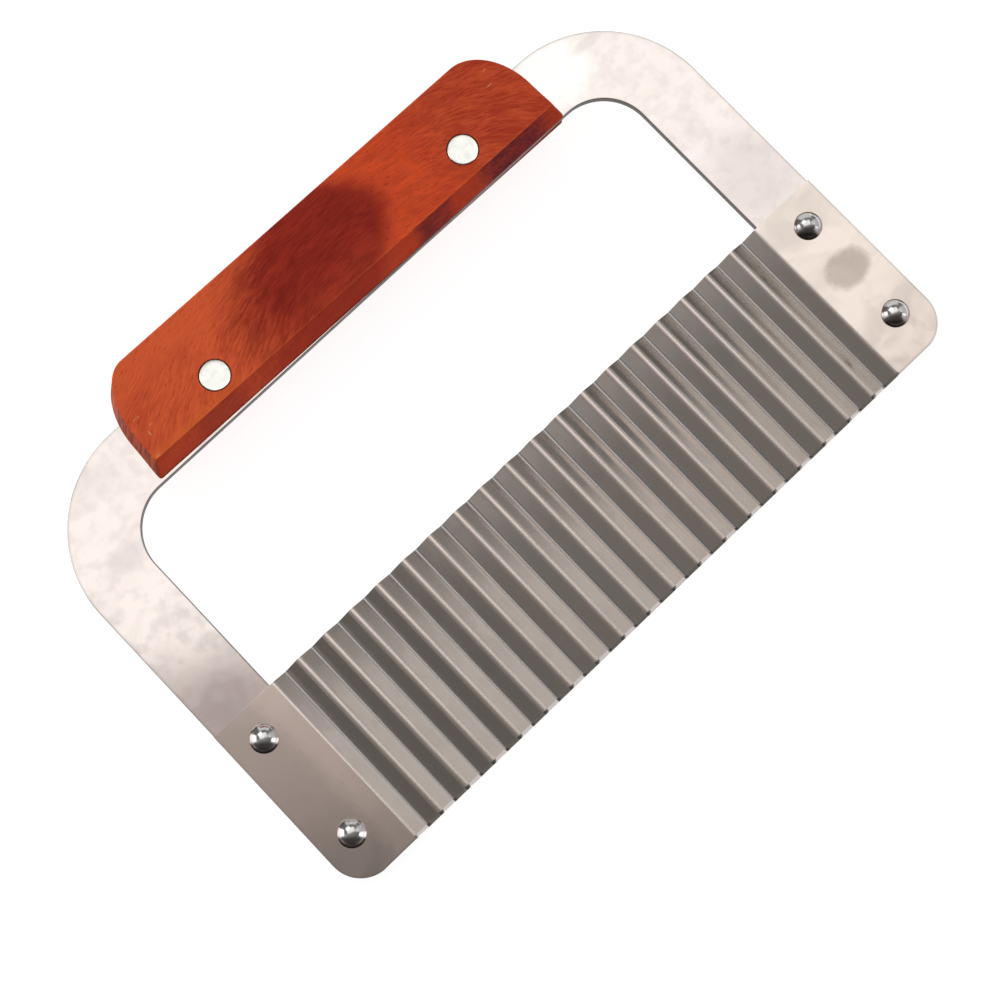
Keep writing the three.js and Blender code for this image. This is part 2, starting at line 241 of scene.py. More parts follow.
# %% A socket that can be used in sums
class Field:
    """One value, colour or vector that varies over a surface."""

    def __init__(self, tree, socket=None):
        self.tree = tree
        self.socket = socket

    def node(self, kind, settings=None, inputs=None, output=0):
        """One output of a new node. A setting is set before the inputs are set or linked."""
        made = self.tree.nodes.new(kind)
        for name, value in (settings or {}).items():
            setattr(made, name, value)
        for name, value in (inputs or {}).items():
            if isinstance(value, Field):
                self.tree.links.new(value.socket, made.inputs[name])
            else:
                made.inputs[name].default_value = value
        return Field(self.tree, made.outputs[output])

    def math(self, operation, *values):
        return self.node("ShaderNodeMath", {"operation": operation}, dict(enumerate(values)))

    def __add__(self, other):
        return self.math("ADD", self, other)

    def __sub__(self, other):
        return self.math("SUBTRACT", self, other)

    def __rsub__(self, other):
        return self.math("SUBTRACT", other, self)

    def __mul__(self, other):
        return self.math("MULTIPLY", self, other)

    def __truediv__(self, other):
        return self.math("DIVIDE", self, other)

    def __abs__(self):
        return self.math("ABSOLUTE", self)

    __radd__ = __add__
    __rmul__ = __mul__

    def step(self, start, end):
        """0 below start, 1 above end and smooth between them."""
        return self.node("ShaderNodeMapRange", {"interpolation_type": "SMOOTHSTEP"},
                         {"Value": self, "From Min": start, "From Max": end})

    def blend(self, low, high):
        """The colour low where this is 0 and high where it is 1."""
        return self.node("ShaderNodeMix", {"data_type": "RGBA"}, {0: self, 6: low, 7: high}, 2)

    def axis(self, name):
        return self.node("ShaderNodeSeparateXYZ", None, {0: self}, name)

    def noise(self, stretch, detail=3, distortion=0):
        """Cloudy noise from 0 to 1. stretch has the cells per unit along X, Y and Z."""
        cells = self.node("ShaderNodeVectorMath", {"operation": "MULTIPLY"}, {0: self, 1: stretch})
        return self.node("ShaderNodeTexNoise", None,
                         {"Vector": cells, "Scale": 1, "Detail": detail, "Distortion": distortion})

    def turned(self, degrees):
        """The same place on a drawing that is turned about Z."""
        return self.node("ShaderNodeMapping", None,
                         {"Vector": self, "Rotation": (0, 0, math.radians(degrees))})


print("sockets can be added, scaled and blended")

# %% Start and feed a finish
def new_finish(name):
    """A material, its shader, and the place on the flat drawing in millimetres."""
    finish = bpy.data.materials.new(name)
    finish.use_nodes = True
    start = Field(finish.node_tree)
    spot = start.node("ShaderNodeTexCoord", output="Object")
    place = start.node("ShaderNodeMapping", {"vector_type": "TEXTURE"},
                       {"Vector": spot, "Location": lay.translation, "Rotation": (lean, 0, 0),
                        "Scale": (MM, MM, MM)})
    return finish, finish.node_tree.nodes["Principled BSDF"], place


def feed(shader, **fields):
    """Sets or links the shader's inputs, which are named with underscores."""
    for name, value in fields.items():
        socket = shader.inputs[name.replace("_", " ")]
        if isinstance(value, Field):
            value.tree.links.new(value.socket, socket)
        else:
            socket.default_value = value
    print("finish:", shader.id_data.name, len(shader.id_data.nodes), "nodes")


def relief(height, depth):
    """Normals of a surface whose height runs from 0 to 1, over a depth in millimetres."""
    return height.node("ShaderNodeBump", None,
                       {"Height": height, "Distance": depth * MM, "Strength": 1}, "Normal")


print("finishes start from the drawing, in millimetres")

# %% [markdown]
# ## Satin steel of the frame
# The frame is punched from rolled sheet. It is pale and almost white where it mirrors the box
# overhead, with smudges, scuffs and fine scratches from handling. Painted shade darkens its
# punched edges and a band along its outer and inner rims, a painted highlight makes it near-white
# right of the handle, and it is painted darker at a few listed places. An image of steel would fix
# one place and one scale. Noise that is stretched along a line gives scratches of any length
# instead, an ellipse with an uneven rim gives a single mark, and the distance from the middle of a
# round corner tells where a rim is.

# %% Scratches, smudges and patches
def scratches(place, degrees, length, width, amount):
    """Thin lines along one direction, 1 on a scratch. length and width are in millimetres."""
    streaks = place.turned(degrees).noise((1 / length, 1 / width, 1 / length), 1)
    return streaks.step(1 - amount, 1 - amount + 0.06)


def smudges(place, size):
    """Soft patches of about one size in millimetres, from 0 to 1."""
    return place.noise((1 / size, 1 / size, 1 / size), 4, 0.6).step(0.4, 0.68)


def patch(place, spot, size, rim=0.35):
    """1 inside an ellipse on the drawing and 0 outside, with an uneven rim."""
    across = (place.axis("X") - spot[0]) / size[0]
    up = (place.axis("Y") - spot[1]) / size[1]
    uneven = place.noise((0.5, 0.5, 0.5), 2) - 0.5
    reach = across * across + up * up + 0.6 * uneven
    return 1 - reach.step(1 - rim, 1 + rim)


def corner_reach(out, up):
    """How far a place lies from the middle of a round corner, or from the straights that leave
    it. out and up run outward from that middle, in millimetres."""
    arm = out.node("ShaderNodeCombineXYZ", None,
                   {"X": out.math("MAXIMUM", out, 0), "Y": up.math("MAXIMUM", up, 0)})
    return arm.node("ShaderNodeVectorMath", {"operation": "LENGTH"}, {0: arm}, "Value")


print("steel can be scratched, smudged and marked")

# %% Places and colours on the frame
DARKENED_PLACES = [((82, 54), (9, 12), 0.65), ((-77.3, 87.2), (4.8, 3), 0.6), ((-84, 50), (8, 6), 0.6),
           ((-74, 105), (8, 4), 0.3), ((77, 103), (4.5, 1.3), 0.5)]
HIGHLIGHT_SPOT = (66, 103)
HIGHLIGHT_SIZE = (9, 8)
BEND_SPOT = (62, 82)
INNER_REACH = 12
INNER_RIM = 0.4
OUTER_REACH = 28
OUTER_RIM = 0.8
PALE_SHEET = (0.91, 0.82, 0.77, 1)
CLOUDED_SHEET = (0.84, 0.75, 0.71, 1)
HIGHLIGHT_SHEET = (0.98, 0.96, 0.94, 1)
DARKENED_SHEET = (0.68, 0.605, 0.585, 1)
SCUFFED_SHEET = (0.62, 0.565, 0.53, 1)
OUTER_RIM_SHADE = (0.5, 0.48, 0.46, 1)
INNER_RIM_SHADE = (0.2, 0.18, 0.17, 1)
EDGE_SHADE_SHEET = (0.1, 0.09, 0.085, 1)
print(len(DARKENED_PLACES), "darkened places on the frame")

# %% Frame finish
def frame_steel():
    finish, shader, place = new_finish("frame_steel")
    facing = place.node("ShaderNodeTexCoord", output="Normal").axis("Z")
    edge = 1 - abs(facing).step(0.5, 1)
    grain = place.noise((0.06, 5, 5), 2)
    marks = scratches(place, 24, 9, 0.12, 0.3) + scratches(place, -57, 6, 0.1, 0.28)
    cloud = smudges(place, 11)
    scuff = place.noise((0.35, 0.35, 0.35), 6).step(0.4, 0.7)
    specks = place.noise((0.9, 0.9, 0.9), 3).step(0.7, 0.78)
    colour = (0.5 * cloud + 0.2 * grain).blend(PALE_SHEET, CLOUDED_SHEET)
    # Painted highlight: a near-white patch on the sheet right of the handle's right end.
    bright = patch(place, HIGHLIGHT_SPOT, HIGHLIGHT_SIZE, 0.9)
    colour = (0.8 * bright).blend(colour, HIGHLIGHT_SHEET)
    # Darker patches at listed places on the sheet.
    for spot, size, weight in DARKENED_PLACES:
        colour = (weight * patch(place, spot, size, 0.9)).blend(colour, DARKENED_SHEET)
    rubbed = (0.28 * scuff + 0.4 * specks) * (1 - 0.7 * bright)
    colour = rubbed.blend(colour, SCUFFED_SHEET)
    reach = corner_reach(abs(place.axis("X")) - BEND_SPOT[0], place.axis("Y") - BEND_SPOT[1])
    # Painted shade: a dark band along the outer rim of the corners and arms.
    outer_shading = 0.45 * reach.step(OUTER_REACH - OUTER_RIM, OUTER_REACH)
    # Painted shade: a dark line along the inner rim.
    inner_shading = 0.8 - 0.8 * reach.step(INNER_REACH, INNER_REACH + INNER_RIM)
    colour = outer_shading.blend(colour, OUTER_RIM_SHADE)
    colour = inner_shading.blend(colour, INNER_RIM_SHADE)
    # Painted shade: the rounded punched edges and the sides of the sheet are painted nearly black.
    colour = edge.blend(colour, EDGE_SHADE_SHEET)
    feed(shader, Metallic=1, Base_Color=colour,
         Roughness=0.09 + 0.04 * cloud + 0.03 * marks + 0.05 * scuff + 0.3 * edge,
         Normal=relief(grain, 0.0008))
    return finish


satin = frame_steel()

# %% [markdown]
# ## Steel of the blade
# The blade is thinner, harder sheet, a little darker, with the grain of its rolling along the
# folds and a dull stain on the right tab. Its cutting edge is ground, and along it a painted
# highlight makes it bright on the slopes that face the right end, while painted shade makes it
# grey on the others and dark where it turns over a fold. The slopes could share one colour, but
# they mirror one another, and steel that is seen twice looks too warm. So a cosine of the groove
# pitch tells ridges from grooves, and the grooves and the pale slopes at the right end get a
# greyer steel: painted to offset that warmth on the slopes, and painted shade in the grooves. The
# grooves are painted darker still, the pale slopes at the right are painted dark towards their
# upper end, and the tabs get darker patches and a dark rim round their lower corners, all as
# painted shade.

# %% Places and colours on the blade
GROOVES = 19
EDGE_HEIGHT = 0.8
STAIN_SPOT = (82, 25)
STAIN_SIZE = (5.5, 4.2)
SHADED_TAB_PATCHES = [((-87, 22), (9, 36), 0.7), ((82, 41), (9, 6), 0.35)]
TOE_SPOT = (82, 8)
TOE_REACH = 8
TOE_RIM = 0.6
RIDGE_START = 73.3
RIDGE_PITCH = 2 * RIDGE_START / GROOVES
SLOPE_STEEL = (0.76, 0.665, 0.6, 1)
TAB_STEEL = (0.865, 0.755, 0.675, 1)
CLOUDED_STEEL = (0.67, 0.585, 0.525, 1)
SHADED_TAB_STEEL = (0.6, 0.53, 0.48, 1)
STAINED_STEEL = (0.5, 0.41, 0.345, 1)
TOE_RIM_SHADE_STEEL = (0.42, 0.41, 0.4, 1)
REFLECTION_GREY_STEEL = (0.71, 0.69, 0.65, 1)
UPPER_SHADE_STEEL = (0.42, 0.4, 0.37, 1)
GROOVE_GREY_SHADE_STEEL = (0.72, 0.69, 0.67, 1)
GROOVE_SHADE_STEEL = (0.36, 0.31, 0.28, 1)
HONED_SHADE = (0.8, 0.72, 0.65, 1)
HONED_HIGHLIGHT = (0.97, 0.9, 0.87, 1)
HONED_FOLD_SHADE = (0.3, 0.28, 0.265, 1)
print(f"ridges {RIDGE_PITCH:.2f} mm apart")

# %% Folds and ground edge
def fold_pattern(place):
    """A wave that is 1 on ridges and -1 in grooves, and a field that is 1 on the tabs."""
    across = abs(place.axis("X"))
    turns = (across - RIDGE_START) * (2 * math.pi / RIDGE_PITCH)
    tab = across.step(RIDGE_START - 0.4, RIDGE_START + 0.4)
    return turns.math("COSINE", turns), tab


def ground_edge(place, sideways, tab):
    """Where the blade is ground, and its colour there: a painted highlight on slopes that face the
    right end, painted shade on the others and over the folds.
    """
    ground = (1 - place.axis("Y").step(EDGE_HEIGHT - 0.1, EDGE_HEIGHT + 0.1)) * (1 - tab)
    # Painted highlight and shade: pale on slopes facing the right end, grey on the others, dark
    # over the folds.
    honed_shading = sideways.step(0, 0.4).blend(HONED_SHADE, HONED_HIGHLIGHT)
    honed_shading = abs(sideways).step(0.36, 0.48).blend(HONED_FOLD_SHADE, honed_shading)
    return ground, honed_shading


print(f"edge ground {EDGE_HEIGHT} mm high")

# %% Blade finish
def blade_steel():
    finish, shader, place = new_finish("blade_steel")
    grain = place.noise((4, 0.05, 4), 2)
    cloud = smudges(place, 8)
    marks = scratches(place, 80, 7, 0.1, 0.29) + scratches(place, -20, 5, 0.1, 0.27)
    sideways = place.node("ShaderNodeTexCoord", output="Normal").axis("X")
    wave, tab = fold_pattern(place)
    ground, honed_shading = ground_edge(place, sideways, tab)
    ridge = wave.step(0.6, 0.9) * (1 - tab)
    groove = (1 - wave.step(-0.98, -0.9)) * (1 - tab)
    stain = patch(place, STAIN_SPOT, STAIN_SIZE, 0.5)
    colour = tab.blend(SLOPE_STEEL, TAB_STEEL)
    colour = (0.3 * cloud + 0.25 * grain).blend(colour, CLOUDED_STEEL)
    # Painted shade: darker patches on the tabs, the large one over the outer part of the left tab.
    for spot, size, weight in SHADED_TAB_PATCHES:
        colour = (weight * patch(place, spot, size, 0.6)).blend(colour, SHADED_TAB_STEEL)
    colour = (0.38 * stain).blend(colour, STAINED_STEEL)
    # Painted shade: a dark rim round the lower outer corners of the tabs.
    reach = corner_reach(abs(place.axis("X")) - TOE_SPOT[0], TOE_SPOT[1] - place.axis("Y"))
    colour = (0.55 * (reach.step(TOE_REACH - TOE_RIM, TOE_REACH) * tab)).blend(colour, TOE_RIM_SHADE_STEEL)
    # Painted correction of light: slopes that face the right end get a greyer colour near the
    # grooves, to offset the warm light mirrored between slopes.
    twice = sideways.step(0.1, 0.4) * place.axis("X").step(5, 60) * (1 - tab)
    colour = (twice * (1 - wave.step(-0.3, 0.4))).blend(colour, REFLECTION_GREY_STEEL)
    # Painted shade: those slopes are painted dark towards their upper end.
    colour = (0.55 * (twice * place.axis("Y").step(26, 34))).blend(colour, UPPER_SHADE_STEEL)
    # Painted shade: the steel round the grooves is painted greyer, and the grooves darker.
    colour = ((1 - wave.step(-0.95, -0.55)) * (1 - tab)).blend(colour, GROOVE_GREY_SHADE_STEEL)
    colour = (0.6 * groove).blend(colour, GROOVE_SHADE_STEEL)
    colour = ground.blend(colour, honed_shading)
    rough = 0.11 + 0.02 * tab + 0.05 * cloud + 0.03 * marks + 0.15 * stain + 0.05 * ground
    feed(shader, Metallic=1, Base_Color=colour,
         Roughness=rough + 0.12 * ridge + 0.12 * groove + 0.06 * twice,
         Normal=relief(grain, 0.0006))
    return finish


rolled = blade_steel()

# %% [markdown]
# ## Varnished wood
# The handle is a red-brown hardwood under a clear varnish. Its growth rings arch over the middle
# of the block, which is darker, and fine fibres and pores follow the rings. Rings are worked out
# as distances from a line below the block, in all three directions, so that the underside shows
# the same piece of wood as the front. Use has left its marks too: rubbed varnish along the lower
# edge, dark stains under it, a few pale flecks, and striped grey ends where the grain is cut. A
# painted highlight runs with the rubbed varnish along that edge, and the lower side is painted
# darker, as painted shade.

# %% Rings, fibres and pores
handle_low, handle_high = flat_box("handle", lay)
WOOD_MIDDLE = (handle_low.y + handle_high.y) / 2 / MM
WOOD_HALF = (handle_high.y - handle_low.y) / 2 / MM
PITH_DEPTH = 26


def wood_figure(place):
    """The darkness of the broad figure, of the fibres and of the pores, along the rings."""
    sway = place.noise((0.03, 0.07, 0.07), 2) - 0.5
    pith = place.node("ShaderNodeMapping", None,
                      {"Vector": place, "Location": (-3, PITH_DEPTH - WOOD_MIDDLE, 0),
                       "Scale": (0.5, 1, 0.7)})
    ring = pith.node("ShaderNodeVectorMath", {"operation": "LENGTH"}, {0: pith}, "Value") + 5 * sway
    strand = place.node("ShaderNodeCombineXYZ", None,
                        {"X": place.axis("X"), "Y": ring, "Z": place.axis("Z")})
    broad = strand.noise((0.14, 0.45, 0.3), 3)
    fibre = strand.noise((0.32, 2.6, 0.9), 3)
    pore = strand.noise((0.6, 3.6, 2), 1).step(0.62, 0.7)
    return broad, fibre, pore


print(f"wood figured over {2 * WOOD_HALF:.1f} mm")

# %% Colours and marks of the wood
LIGHT_WOOD = (1, 0.163, 0.054, 1)
ORANGE_WOOD = (1, 0.122, 0.034, 1)
RED_WOOD = (0.58, 0.06, 0.026, 1)
HEART_WOOD = (0.46, 0.039, 0.021, 1)
DEEP_WOOD = (0.24, 0.017, 0.012, 1)
LOWER_SIDE_SHADE_WOOD = (0.35, 0.037, 0.022, 1)
STAINED_WOOD = (0.13, 0.023, 0.03, 1)
WORN_AND_LIT_WOOD = (1, 0.2, 0.042, 1)
FLECK_WOOD = (0.96, 0.42, 0.2, 1)
PALE_END = (0.6, 0.14, 0.085, 1)
DARK_END = (0.24, 0.08, 0.068, 1)
STAINS = [((22, 95), (5, 6), 0.85), ((46, 95), (9, 6), 1), ((-41, 95), (6, 6), 0.3)]
FLECKS = [((-55.6, 106.6), (0.9, 0.13)), ((-54.1, 103.5), (0.5, 0.13)),
          ((-55.6, 102.2), (0.2, 0.7)), ((-57.6, 97.4), (0.6, 0.2)),
          ((52.9, 112), (0.5, 0.13)), ((51.3, 108.7), (0.8, 0.13))]
SKEW = 0.55  # degrees that the block sits turned on the bar
SIDE_WIDTH = 1.9  # millimetres that the sides slope in


def worn_and_lit_edge(x, rise):
    """Where the front's lower edge is painted lighter, for rubbed varnish and a painted highlight
    along its arris, from its rise over that edge.
    """
    line = 1 - abs(rise).step(0.15, 0.8)
    strip = rise.step(-0.4, 0.1) * (1 - rise.step(1, 2.8))
    left = 1 - x.step(-42, -28)
    return left * (0.7 * strip + 0.3 * line) + 0.3 * line * (1 - left)


print(len(STAINS), "stains and", len(FLECKS), "flecks on the wood")

# %% Wood finish
def handle_wood():
    finish, shader, place = new_finish("handle_wood")
    x = place.axis("X")
    y = place.axis("Y") - WOOD_MIDDLE
    facing = place.node("ShaderNodeTexCoord", output="Normal")
    end = abs(facing.axis("X")).step(0.45, 0.8)
    band = 1 - facing.axis("Y").step(-0.8, -0.5)
    broad, fibre, pore = wood_figure(place)
    left = (x - 0.5 * y - 0.04 * y * y + 8 * (broad - 0.5) + 7 * (fibre - 0.5)).step(-35, -14)
    right = (x + 0.07 * y * y + 8 * (broad - 0.5) + 8 * (fibre - 0.5)).step(13, 20)
    heart = left * (1 - right) * (0.85 + 0.15 * y.step(-9, -3))
    tone = (0.55 * fibre + 0.45 * broad).step(0.36, 0.64)
    shade = tone * (0.55 - 0.35 * y.step(0, 8) * (1 - x.step(-30, 0)))
    pale = (x.step(2, 14) * (1 - x.step(28, 40))).blend(LIGHT_WOOD, ORANGE_WOOD)
    colour = heart.blend((shade + 0.5 * x.step(14, 50)).blend(pale, RED_WOOD),
                         (0.7 * tone).blend(HEART_WOOD, DEEP_WOOD))
    colour = (0.35 * pore).blend(colour, DEEP_WOOD)
    # Painted shade: faces that look down, along the lower side of the block, are painted darker.
    colour = (0.7 * band).blend(colour, LOWER_SIDE_SHADE_WOOD)
    front = place.axis("Z").step(-1, 2)
    for spot, size, weight in STAINS:
        soaked = weight * patch(place, spot, size, 0.8) * band * front * (0.6 + 0.4 * tone)
        colour = soaked.blend(colour, STAINED_WOOD)
    # Rubbed varnish and a painted highlight along the arris of the front's lower edge.
    worn_and_lit = worn_and_lit_edge(x, y + WOOD_HALF - SIDE_WIDTH + math.radians(SKEW) * x) * (1 - band)
    colour = (0.6 * worn_and_lit).blend(colour, WORN_AND_LIT_WOOD)
    for spot, size in FLECKS:
        colour = (0.6 * patch(place, spot, size)).blend(colour, FLECK_WOOD)
    rays = place.noise((0.1, 1.3, 0.1), 2).step(0.42, 0.58)
    colour = (0.85 * end).blend(colour, rays.blend(PALE_END, DARK_END))
    feed(shader, Base_Color=colour, Roughness=0.42 + 0.14 * tone,
         Specular_IOR_Level=0, Coat_Weight=(0.07 - 0.03 * pore) * (1 - 0.8 * band),
         Coat_Roughness=0.2, Normal=relief(0.6 * (1 - pore) + 0.4 * (1 - tone), 0.015))
    return finish


varnished = handle_wood()

# %% [markdown]
# ## Polished and brushed rivets
# The blade's rivets are polished until they mirror the room, and the handle's flush rivets are
# soft white aluminium. Both have been touched: a faint film on the polish, and fine turning and
# rubbing marks on the aluminium. The marks change the roughness rather than the colour. The
# domes are rougher and painted dark along one side, a painted reflection of dark surroundings.
# That could be a patch at each rivet, but the direction that the surface faces finds the same
# side on all four at once.

# %% Polished domes
POLISHED_STEEL = (0.74, 0.73, 0.72, 1)
FILMED_STEEL = (0.66, 0.65, 0.64, 1)
DARK_SIDE_SHADE_STEEL = (0.2, 0.175, 0.17, 1)
DARKEST_SIDE_SHADE_STEEL = (0.07, 0.06, 0.06, 1)
LIT_SIDE = (0.69, 0.73)


def rivet_steel():
    finish, shader, place = new_finish("rivet_steel")
    film = smudges(place, 1.6)
    marks = scratches(place, 35, 1.5, 0.05, 0.3)
    facing = place.node("ShaderNodeTexCoord", output="Normal")
    lit_facing = LIT_SIDE[0] * facing.axis("X") + LIT_SIDE[1] * facing.axis("Y")
    # Painted reflection: the side of each dome that faces away from the lit side is painted dark,
    # darkest towards its rim.
    dark_side = 1 - lit_facing.step(-0.42, -0.14)
    colour = film.blend(POLISHED_STEEL, FILMED_STEEL)
    colour = (0.9 * dark_side).blend(colour, DARK_SIDE_SHADE_STEEL)
    colour = (1 - lit_facing.step(-0.72, -0.5)).blend(colour, DARKEST_SIDE_SHADE_STEEL)
    feed(shader, Metallic=1, Base_Color=colour,
         Roughness=0.15 + 0.06 * film + 0.06 * marks + 0.1 * dark_side,
         Normal=relief(1 - marks, 0.002))
    return finish


polished = rivet_steel()

# %% Brushed discs
WHITE_ALUMINIUM = (0.93, 0.93, 0.87, 1)
RUBBED_ALUMINIUM = (0.88, 0.88, 0.81, 1)


def rivet_aluminium():
    finish, shader, place = new_finish("rivet_aluminium")
    film = smudges(place, 2.2)
    marks = scratches(place, 15, 2, 0.06, 0.32) + scratches(place, -70, 2, 0.06, 0.3)
    feed(shader, Metallic=1, Base_Color=film.blend(WHITE_ALUMINIUM, RUBBED_ALUMINIUM),
         Roughness=0.24 + 0.06 * film + 0.06 * marks, Normal=relief(1 - marks, 0.003))
    return finish


brushed = rivet_aluminium()

# %% [markdown]
# ## Tools for modelling
# Each piece starts as a primitive and is shaped in edit mode, as by hand. By hand the edges to
# work on are clicked; in a script they are picked by where they lie. A few short helpers start a
# piece, pick its parts, apply a modifier, and lay the finished piece down in its place.

# %% Start a piece and pick its parts
TINY = 0.01 * MM
ALONG = 0.999
FACING = 0.99


def begin(name):
    """Names the primitive that was just added, and starts to edit it."""
    piece = bpy.context.object
    piece.name = name
    piece.data.name = name
    bpy.ops.object.transform_apply(location=True, rotation=True, scale=True)
    bpy.ops.object.mode_set(mode="EDIT")
    return piece


def pick(kind, rule):
    """Selects only the vertices, edges or faces whose middle passes the rule."""
    bpy.ops.mesh.select_mode(type=kind)
    bpy.ops.mesh.select_all(action="DESELECT")
    mesh = bpy.context.edit_object.data
    shape = bmesh.from_edit_mesh(mesh)
    parts = {"VERT": shape.verts, "EDGE": shape.edges, "FACE": shape.faces}[kind]
    for part in parts:
        corners = [part] if kind == "VERT" else part.verts
        middle = sum((corner.co for corner in corners), Vector()) / len(corners)
        if rule(middle, part):
            part.select_set(True)
    bmesh.update_edit_mesh(mesh)


def runs(edge, axis):
    """Whether an edge runs along an axis, 0 for X, 1 for Y and 2 for Z."""
    return abs((edge.verts[1].co - edge.verts[0].co).normalized()[axis]) > ALONG


def extrude(step):
    """Extrudes what is picked, by a vector."""
    bpy.ops.mesh.extrude_region_move(TRANSFORM_OT_translate={"value": step})


print("pieces can be started and picked")

# %% Finish a piece
def apply_modifier(piece, kind, **settings):
    """Adds a modifier with its settings, and applies it."""
    modifier = piece.modifiers.new(kind.lower(), kind)
    for name, value in settings.items():
        setattr(modifier, name, value)
    bpy.context.view_layer.objects.active = piece
    bpy.ops.object.modifier_apply(modifier=modifier.name)


def only(piece):
    """Makes a piece the one that operators act on."""
    bpy.ops.object.select_all(action="DESELECT")
    piece.select_set(True)
    bpy.context.view_layer.objects.active = piece


def smooth(piece, degrees):
    """Smooths the shading over gentle angles, and keeps large faces flat."""
    only(piece)
    bpy.ops.object.shade_smooth_by_angle(angle=math.radians(degrees))
    apply_modifier(piece, "WEIGHTED_NORMAL", keep_sharp=True)


def settle(piece, finish, slot, *nodes):
    """Lays a piece down in the place of its solids, in its finish."""
    piece.data.transform(lay)
    piece.data.materials.clear()
    piece.data.materials.append(finish)
    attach(piece, "root")
    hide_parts(*nodes)
    print(f"{piece.name}: {len(piece.data.polygons)} faces")


print("pieces can be finished")

# %% Cut round holes
HOLE_SIDES = 48
SEAT_GAP = 0.3 * MM


def cut(piece, cutter):
    """Takes the shape of a cutter out of a piece, and throws the cutter away."""
    apply_modifier(piece, "BOOLEAN", object=cutter, operation="DIFFERENCE", solver="EXACT")
    bpy.data.objects.remove(cutter)


def bore(piece, spot, diameter, low, high):
    """Drills a round hole along Z between two heights."""
    bpy.ops.object.select_all(action="DESELECT")
    bpy.ops.mesh.primitive_cylinder_add(vertices=HOLE_SIDES, radius=diameter / 2, depth=high - low,
                                        location=(spot[0], spot[1], (low + high) / 2))
    cut(piece, bpy.context.object)


def rivet_spots(*names):
    """The middles of rivets on the drawing, by node name."""
    boxes = {name: flat_box(name, lay) for name in names}
    return {name: (low + high) / 2 for name, (low, high) in boxes.items()}


blade_rivets = rivet_spots(*[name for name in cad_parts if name.startswith("blade_rivet")])
handle_rivets = rivet_spots(*[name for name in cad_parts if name.startswith("handle_rivet")])
front_spots = [spot for name, spot in handle_rivets.items() if name.endswith("front")]
print(len(blade_rivets), "blade rivets and", len(handle_rivets), "halves of handle rivets")

# %% [markdown]
# ## The frame
# Arms and bar are one piece of steel sheet. Its outline could be drawn as a curve, but the shape
# is a strip that goes up, round a corner, along, round again and down. So one arm starts as a
# plane, its end is extruded along the straights and spun round the corners, and Solidify gives
# it the thickness of the sheet. Punched edges are never sharp, so a small bevel catches light.

# %% Frame strip
ARM_WIDTH = 16 * MM
INNER_RADIUS = INNER_REACH * MM
BEND_STEPS = 32
frame_low, frame_high = flat_box("frame", lay)
bend_height = frame_high.y - ARM_WIDTH - INNER_RADIUS
bend_centre = frame_high.x - ARM_WIDTH - INNER_RADIUS


def bend_strip(centre):
    """Spins the picked end of the strip a quarter turn, clockwise on the drawing."""
    bpy.ops.mesh.spin(steps=BEND_STEPS, angle=math.pi / 2, center=(centre, bend_height, 0),
                      axis=(0, 0, 1))


def frame_strip():
    arm = bend_height - frame_low.y
    bpy.ops.object.select_all(action="DESELECT")
    bpy.ops.mesh.primitive_plane_add(size=1, location=(frame_low.x + ARM_WIDTH / 2,
                                                       frame_low.y + arm / 2, 0))
    bpy.context.object.scale = (ARM_WIDTH, arm, 1)
    strip = begin("frame_strip")
    pick("EDGE", lambda middle, edge: middle.y > bend_height - TINY)
    bend_strip(-bend_centre)
    extrude((2 * bend_centre, 0, 0))
    bend_strip(bend_centre)
    extrude((0, -arm, 0))
    bpy.ops.mesh.select_all(action="SELECT")
    bpy.ops.mesh.remove_doubles(threshold=TINY)
    bpy.ops.mesh.normals_make_consistent(inside=False)
    return strip


strip = frame_strip()
print(f"strip bends at {bend_height / MM:.1f} mm")

# %% Frame sheet
TOE_RADIUS = TOE_REACH * MM
TOE_STEPS = BEND_STEPS // 2
RIVET_HOLE = 3.8 * MM
SLEEVE_HOLE = 5.2 * MM
DRILL_REACH = 5 * MM
PUNCHED_EDGE = 0.16 * MM


def frame_sheet(strip):
    pick("VERT", lambda middle, corner: middle.y < frame_low.y + TINY
         and abs(middle.x) > frame_high.x - TINY)
    bpy.ops.mesh.bevel(offset=TOE_RADIUS, offset_type="OFFSET", segments=TOE_STEPS,
                       affect="VERTICES")
    bpy.ops.object.mode_set(mode="OBJECT")
    apply_modifier(strip, "SOLIDIFY", thickness=frame_high.z - frame_low.z, offset=0)
    for spot in blade_rivets.values():
        bore(strip, spot, RIVET_HOLE, -DRILL_REACH, DRILL_REACH)
    for spot in front_spots:
        bore(strip, spot, SLEEVE_HOLE, -DRILL_REACH, DRILL_REACH)
    apply_modifier(strip, "BEVEL", width=PUNCHED_EDGE, segments=3, limit_method="ANGLE",
                   angle_limit=math.radians(50), use_clamp_overlap=False)
    smooth(strip, 35)
    settle(strip, satin, "frame_steel", "frame")


frame_sheet(strip)

# %% [markdown]
# ## The corrugated blade
# The blade is pressed from one thin sheet: a flat tab at each end and nineteen grooves between.
# A wave texture or an array of strips would give the stripes but not the sharp facets and round
# folds of pressed steel. Here the left tab starts as a plane, its edge is extruded facet by
# facet, and each fold is then bevelled to its radius.

# %% Blade facets
TAB_LENGTH = 16.7 * MM
BLADE_SHEET = 0.8 * MM
FOLD_RADIUS = 1.1 * MM
blade_low, blade_high = flat_box("blade", lay)
wave_depth = blade_high.z - blade_low.z - BLADE_SHEET
half_pitch = (blade_high.x - TAB_LENGTH) / GROOVES
ridge_height = blade_high.z - BLADE_SHEET / 2
excess = 2 * FOLD_RADIUS - wave_depth
slope = (math.asin(2 * FOLD_RADIUS / math.hypot(half_pitch, excess))
         - math.atan2(excess, half_pitch))
overshoot = FOLD_RADIUS * (1 / math.cos(slope) - 1)
fold_start = blade_low.x + TAB_LENGTH + FOLD_RADIUS * math.tan(slope / 2)


